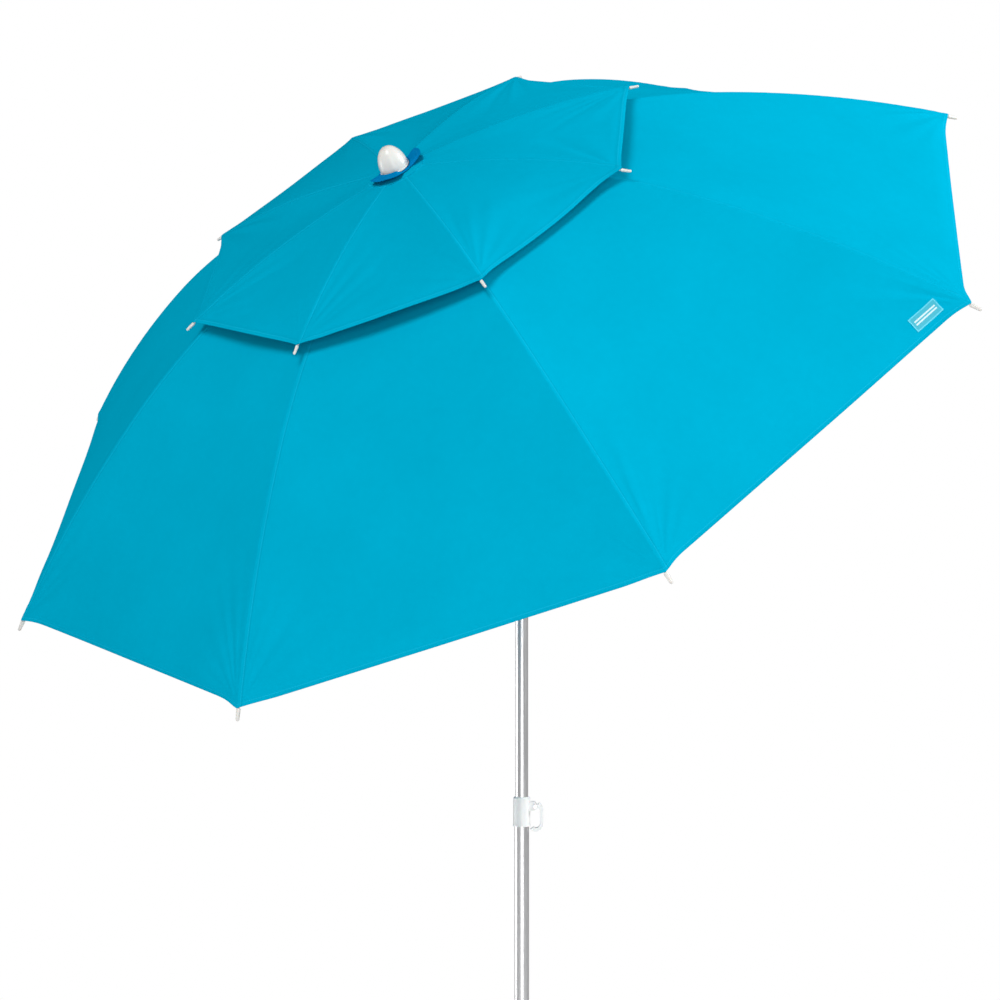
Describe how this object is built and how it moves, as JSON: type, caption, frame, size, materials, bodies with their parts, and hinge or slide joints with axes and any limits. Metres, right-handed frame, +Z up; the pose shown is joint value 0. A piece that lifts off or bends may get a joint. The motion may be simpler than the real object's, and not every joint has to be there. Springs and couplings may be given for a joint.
{
  "type": "beach umbrella",
  "caption": "Tilting beach umbrella: a two-tube telescoping pole with a cam collar carries a leaning mast with a ribbed, vented double canopy and a domed finial.",
  "frame": {"origin": "on the pole axis at the foot of the lower tube, where a ground socket grips it", "axes": "+Z up the pole; the canopy leans towards -Y about a hinge along X"},
  "size_m": [2.2908, 1.8214, 2.6098],
  "materials": {
    "canopy_fabric": "satin polyester",
    "disc_fabric": "satin polyester",
    "pole_aluminium": "satin anodised",
    "white_plastic": "moulded, half gloss",
    "pin_steel": "plated",
    "rib_rod": "pultruded glass fibre",
    "strut_steel": "powder coated"
  },
  "bodies": {
    "root": {"lower_pole": "pole_aluminium", "ground_spike": "white_plastic", "height_collar": "white_plastic", "lever_pin": "pin_steel"},
    "lever": {"lock_lever": "white_plastic"},
    "bush": {"pole_bush": "white_plastic"},
    "pole": {"upper_pole": "pole_aluminium", "tilt_base": "white_plastic", "tilt_pin": "pin_steel", "button_spring": "pin_steel"},
    "button": {"tilt_button": "white_plastic"},
    "head": {"tilt_head": "white_plastic", "mast": "pole_aluminium", "crown_hub": "white_plastic", "crown_wire": "pin_steel", "finial": "white_plastic", "top_disc": "disc_fabric"},
    "catch": {"mast_catch": "pin_steel"},
    "runner": {"runner": "white_plastic", "runner_wire": "pin_steel"},
    "rib_1": {"rib_1": "rib_rod", "canopy_panel_1": "canopy_fabric"},
    "rib_2": {"rib_2": "rib_rod", "canopy_panel_2": "canopy_fabric"},
    "rib_3": {"rib_3": "rib_rod", "canopy_panel_3": "canopy_fabric"},
    "rib_4": {"rib_4": "rib_rod", "canopy_panel_4": "canopy_fabric"},
    "rib_5": {"rib_5": "rib_rod", "canopy_panel_5": "canopy_fabric"},
    "rib_6": {"rib_6": "rib_rod", "canopy_panel_6": "canopy_fabric"},
    "rib_7": {"rib_7": "rib_rod", "canopy_panel_7": "canopy_fabric"},
    "rib_8": {"rib_8": "rib_rod", "canopy_panel_8": "canopy_fabric"},
    "strut_1": {"strut_1": "strut_steel"},
    "strut_2": {"strut_2": "strut_steel"},
    "strut_3": {"strut_3": "strut_steel"},
    "strut_4": {"strut_4": "strut_steel"},
    "strut_5": {"strut_5": "strut_steel"},
    "strut_6": {"strut_6": "strut_steel"},
    "strut_7": {"strut_7": "strut_steel"},
    "strut_8": {"strut_8": "strut_steel"},
    "vent_rib_1": {"vent_rib_1": "rib_rod", "vent_panel_1": "canopy_fabric"},
    "vent_rib_2": {"vent_rib_2": "rib_rod", "vent_panel_2": "canopy_fabric"},
    "vent_rib_3": {"vent_rib_3": "rib_rod", "vent_panel_3": "canopy_fabric"},
    "vent_rib_4": {"vent_rib_4": "rib_rod", "vent_panel_4": "canopy_fabric"},
    "vent_rib_5": {"vent_rib_5": "rib_rod", "vent_panel_5": "canopy_fabric"},
    "vent_rib_6": {"vent_rib_6": "rib_rod", "vent_panel_6": "canopy_fabric"},
    "vent_rib_7": {"vent_rib_7": "rib_rod", "vent_panel_7": "canopy_fabric"},
    "vent_rib_8": {"vent_rib_8": "rib_rod", "vent_panel_8": "canopy_fabric"}
  },
  "joints": [
    {"name": "height_slide", "type": "slide", "parent": "root", "child": "bush", "axis": [0, 0, 1], "range_m": [-0.54, 0.08]},
    {"name": "pole_swivel", "type": "hinge", "parent": "bush", "child": "pole", "pos_m": [0, 0, 0.62], "axis": [0, 0, 1], "continuous": true},
    {"name": "lever_swing", "type": "hinge", "parent": "root", "child": "lever", "pos_m": [0.02166, 0.01883, 0.8437], "axis": [0.6561, -0.7547, 0], "range_deg": [0, 100]},
    {"name": "tilt_hinge", "type": "hinge", "parent": "pole", "child": "head", "pos_m": [0, 0, 1.667], "axis": [1, 0, 0], "range_deg": [-37.4, 0]},
    {"name": "button_press", "type": "slide", "parent": "pole", "child": "button", "axis": [0, 1, 0], "range_m": [0, 0.0035], "stiffness_N_per_m": 600, "deforming": ["button_spring"]},
    {"name": "catch_press", "type": "slide", "parent": "head", "child": "catch", "axis": [1, 0, 0], "range_m": [0, 0.0026], "stiffness_N_per_m": 800},
    {"name": "runner_slide", "type": "slide", "parent": "head", "child": "runner", "axis": [0, 0.6074, -0.7944], "range_m": [0, 0.3641], "deforming": ["canopy_panel_1", "canopy_panel_2", "canopy_panel_3", "canopy_panel_4", "canopy_panel_5", "canopy_panel_6", "canopy_panel_7", "canopy_panel_8", "vent_panel_1", "vent_panel_2", "vent_panel_3", "vent_panel_4", "vent_panel_5", "vent_panel_6", "vent_panel_7", "vent_panel_8"]},
    {"name": "rib_fold_1", "type": "hinge", "parent": "head", "child": "rib_1", "pos_m": [0.02976, -0.38205, 2.17297], "axis": [-0.1271, 0.788, 0.6025], "range_deg": [0, 60.05]},
    {"name": "rib_fold_2", "type": "hinge", "parent": "head", "child": "rib_2", "pos_m": [0.01835, -0.36622, 2.18508], "axis": [-0.7912, 0.4858, 0.3714], "range_deg": [0, 60.05]},
    {"name": "rib_fold_3", "type": "hinge", "parent": "head", "child": "rib_3", "pos_m": [-0.00381, -0.36144, 2.18873], "axis": [-0.9919, -0.1009, -0.0772], "range_deg": [0, 60.05]},
    {"name": "rib_fold_4", "type": "hinge", "parent": "head", "child": "rib_4", "pos_m": [-0.02374, -0.3705, 2.1818], "axis": [-0.6115, -0.6286, -0.4806], "range_deg": [0, 60.05]},
    {"name": "rib_fold_5", "type": "hinge", "parent": "head", "child": "rib_5", "pos_m": [-0.02976, -0.3881, 2.16834], "axis": [0.1271, -0.788, -0.6025], "range_deg": [0, 60.05]},
    {"name": "rib_fold_6", "type": "hinge", "parent": "head", "child": "rib_6", "pos_m": [-0.01835, -0.40393, 2.15624], "axis": [0.7912, -0.4858, -0.3714], "range_deg": [0, 60.05]},
    {"name": "rib_fold_7", "type": "hinge", "parent": "head", "child": "rib_7", "pos_m": [0.00381, -0.40872, 2.15259], "axis": [0.9919, 0.1009, 0.0772], "range_deg": [0, 60.05]},
    {"name": "rib_fold_8", "type": "hinge", "parent": "head", "child": "rib_8", "pos_m": [0.02374, -0.39965, 2.15952], "axis": [0.6115, 0.6286, 0.4806], "range_deg": [0, 60.05]},
    {"name": "strut_fold_1", "type": "hinge", "parent": "runner", "child": "strut_1", "pos_m": [0.02839, -0.27613, 2.0441], "axis": [0.1271, -0.788, -0.6025], "range_deg": [0, 43.36]},
    {"name": "strut_fold_2", "type": "hinge", "parent": "runner", "child": "strut_2", "pos_m": [0.01323, -0.26243, 2.05458], "axis": [0.7912, -0.4858, -0.3714], "range_deg": [0, 43.36]},
    {"name": "strut_fold_3", "type": "hinge", "parent": "runner", "child": "strut_3", "pos_m": [-0.00969, -0.26126, 2.05547], "axis": [0.9919, 0.1009, 0.0772], "range_deg": [0, 43.36]},
    {"name": "strut_fold_4", "type": "hinge", "parent": "runner", "child": "strut_4", "pos_m": [-0.02693, -0.27331, 2.04625], "axis": [0.6115, 0.6286, 0.4806], "range_deg": [0, 43.36]},
    {"name": "strut_fold_5", "type": "hinge", "parent": "runner", "child": "strut_5", "pos_m": [-0.02839, -0.29152, 2.03234], "axis": [-0.1271, 0.788, 0.6025], "range_deg": [0, 43.36]},
    {"name": "strut_fold_6", "type": "hinge", "parent": "runner", "child": "strut_6", "pos_m": [-0.01323, -0.30521, 2.02187], "axis": [-0.7912, 0.4858, 0.3714], "range_deg": [0, 43.36]},
    {"name": "strut_fold_7", "type": "hinge", "parent": "runner", "child": "strut_7", "pos_m": [0.00969, -0.30638, 2.02098], "axis": [-0.9919, -0.1009, -0.0772], "range_deg": [0, 43.36]},
    {"name": "strut_fold_8", "type": "hinge", "parent": "runner", "child": "strut_8", "pos_m": [0.02693, -0.29433, 2.03019], "axis": [-0.6115, -0.6286, -0.4806], "range_deg": [0, 43.36]},
    {"name": "vent_fold_1", "type": "hinge", "parent": "head", "child": "vent_rib_1", "pos_m": [0.04563, -0.39367, 2.19153], "axis": [-0.1271, 0.788, 0.6025], "range_deg": [0, 61.05]},
    {"name": "vent_fold_2", "type": "hinge", "parent": "head", "child": "vent_rib_2", "pos_m": [0.02813, -0.3694, 2.21008], "axis": [-0.7912, 0.4858, 0.3714], "range_deg": [0, 61.05]},
    {"name": "vent_fold_3", "type": "hinge", "parent": "head", "child": "vent_rib_3", "pos_m": [-0.00585, -0.36207, 2.21569], "axis": [-0.9919, -0.1009, -0.0772], "range_deg": [0, 61.05]},
    {"name": "vent_fold_4", "type": "hinge", "parent": "head", "child": "vent_rib_4", "pos_m": [-0.0364, -0.37597, 2.20506], "axis": [-0.6115, -0.6286, -0.4806], "range_deg": [0, 61.05]},
    {"name": "vent_fold_5", "type": "hinge", "parent": "head", "child": "vent_rib_5", "pos_m": [-0.04563, -0.40296, 2.18443], "axis": [0.1271, -0.788, -0.6025], "range_deg": [0, 61.05]},
    {"name": "vent_fold_6", "type": "hinge", "parent": "head", "child": "vent_rib_6", "pos_m": [-0.02813, -0.42723, 2.16587], "axis": [0.7912, -0.4858, -0.3714], "range_deg": [0, 61.05]},
    {"name": "vent_fold_7", "type": "hinge", "parent": "head", "child": "vent_rib_7", "pos_m": [0.00585, -0.43456, 2.16026], "axis": [0.9919, 0.1009, 0.0772], "range_deg": [0, 61.05]},
    {"name": "vent_fold_8", "type": "hinge", "parent": "head", "child": "vent_rib_8", "pos_m": [0.0364, -0.42066, 2.17089], "axis": [0.6115, 0.6286, 0.4806], "range_deg": [0, 61.05]}
  ],
  "couplings": [
    {"joint": "rib_fold_1", "follows": "runner_slide", "rad_per_m": 2.8761},
    {"joint": "rib_fold_2", "follows": "runner_slide", "rad_per_m": 2.8761},
    {"joint": "rib_fold_3", "follows": "runner_slide", "rad_per_m": 2.8761},
    {"joint": "rib_fold_4", "follows": "runner_slide", "rad_per_m": 2.8761},
    {"joint": "rib_fold_5", "follows": "runner_slide", "rad_per_m": 2.8761},
    {"joint": "rib_fold_6", "follows": "runner_slide", "rad_per_m": 2.8761},
    {"joint": "rib_fold_7", "follows": "runner_slide", "rad_per_m": 2.8761},
    {"joint": "rib_fold_8", "follows": "runner_slide", "rad_per_m": 2.8761},
    {"joint": "strut_fold_1", "follows": "runner_slide", "rad_per_m": 2.0763},
    {"joint": "strut_fold_2", "follows": "runner_slide", "rad_per_m": 2.0763},
    {"joint": "strut_fold_3", "follows": "runner_slide", "rad_per_m": 2.0763},
    {"joint": "strut_fold_4", "follows": "runner_slide", "rad_per_m": 2.0763},
    {"joint": "strut_fold_5", "follows": "runner_slide", "rad_per_m": 2.0763},
    {"joint": "strut_fold_6", "follows": "runner_slide", "rad_per_m": 2.0763},
    {"joint": "strut_fold_7", "follows": "runner_slide", "rad_per_m": 2.0763},
    {"joint": "strut_fold_8", "follows": "runner_slide", "rad_per_m": 2.0763},
    {"joint": "vent_fold_1", "follows": "runner_slide", "rad_per_m": 2.9241},
    {"joint": "vent_fold_2", "follows": "runner_slide", "rad_per_m": 2.9241},
    {"joint": "vent_fold_3", "follows": "runner_slide", "rad_per_m": 2.9241},
    {"joint": "vent_fold_4", "follows": "runner_slide", "rad_per_m": 2.9241},
    {"joint": "vent_fold_5", "follows": "runner_slide", "rad_per_m": 2.9241},
    {"joint": "vent_fold_6", "follows": "runner_slide", "rad_per_m": 2.9241},
    {"joint": "vent_fold_7", "follows": "runner_slide", "rad_per_m": 2.9241},
    {"joint": "vent_fold_8", "follows": "runner_slide", "rad_per_m": 2.9241}
  ]
}
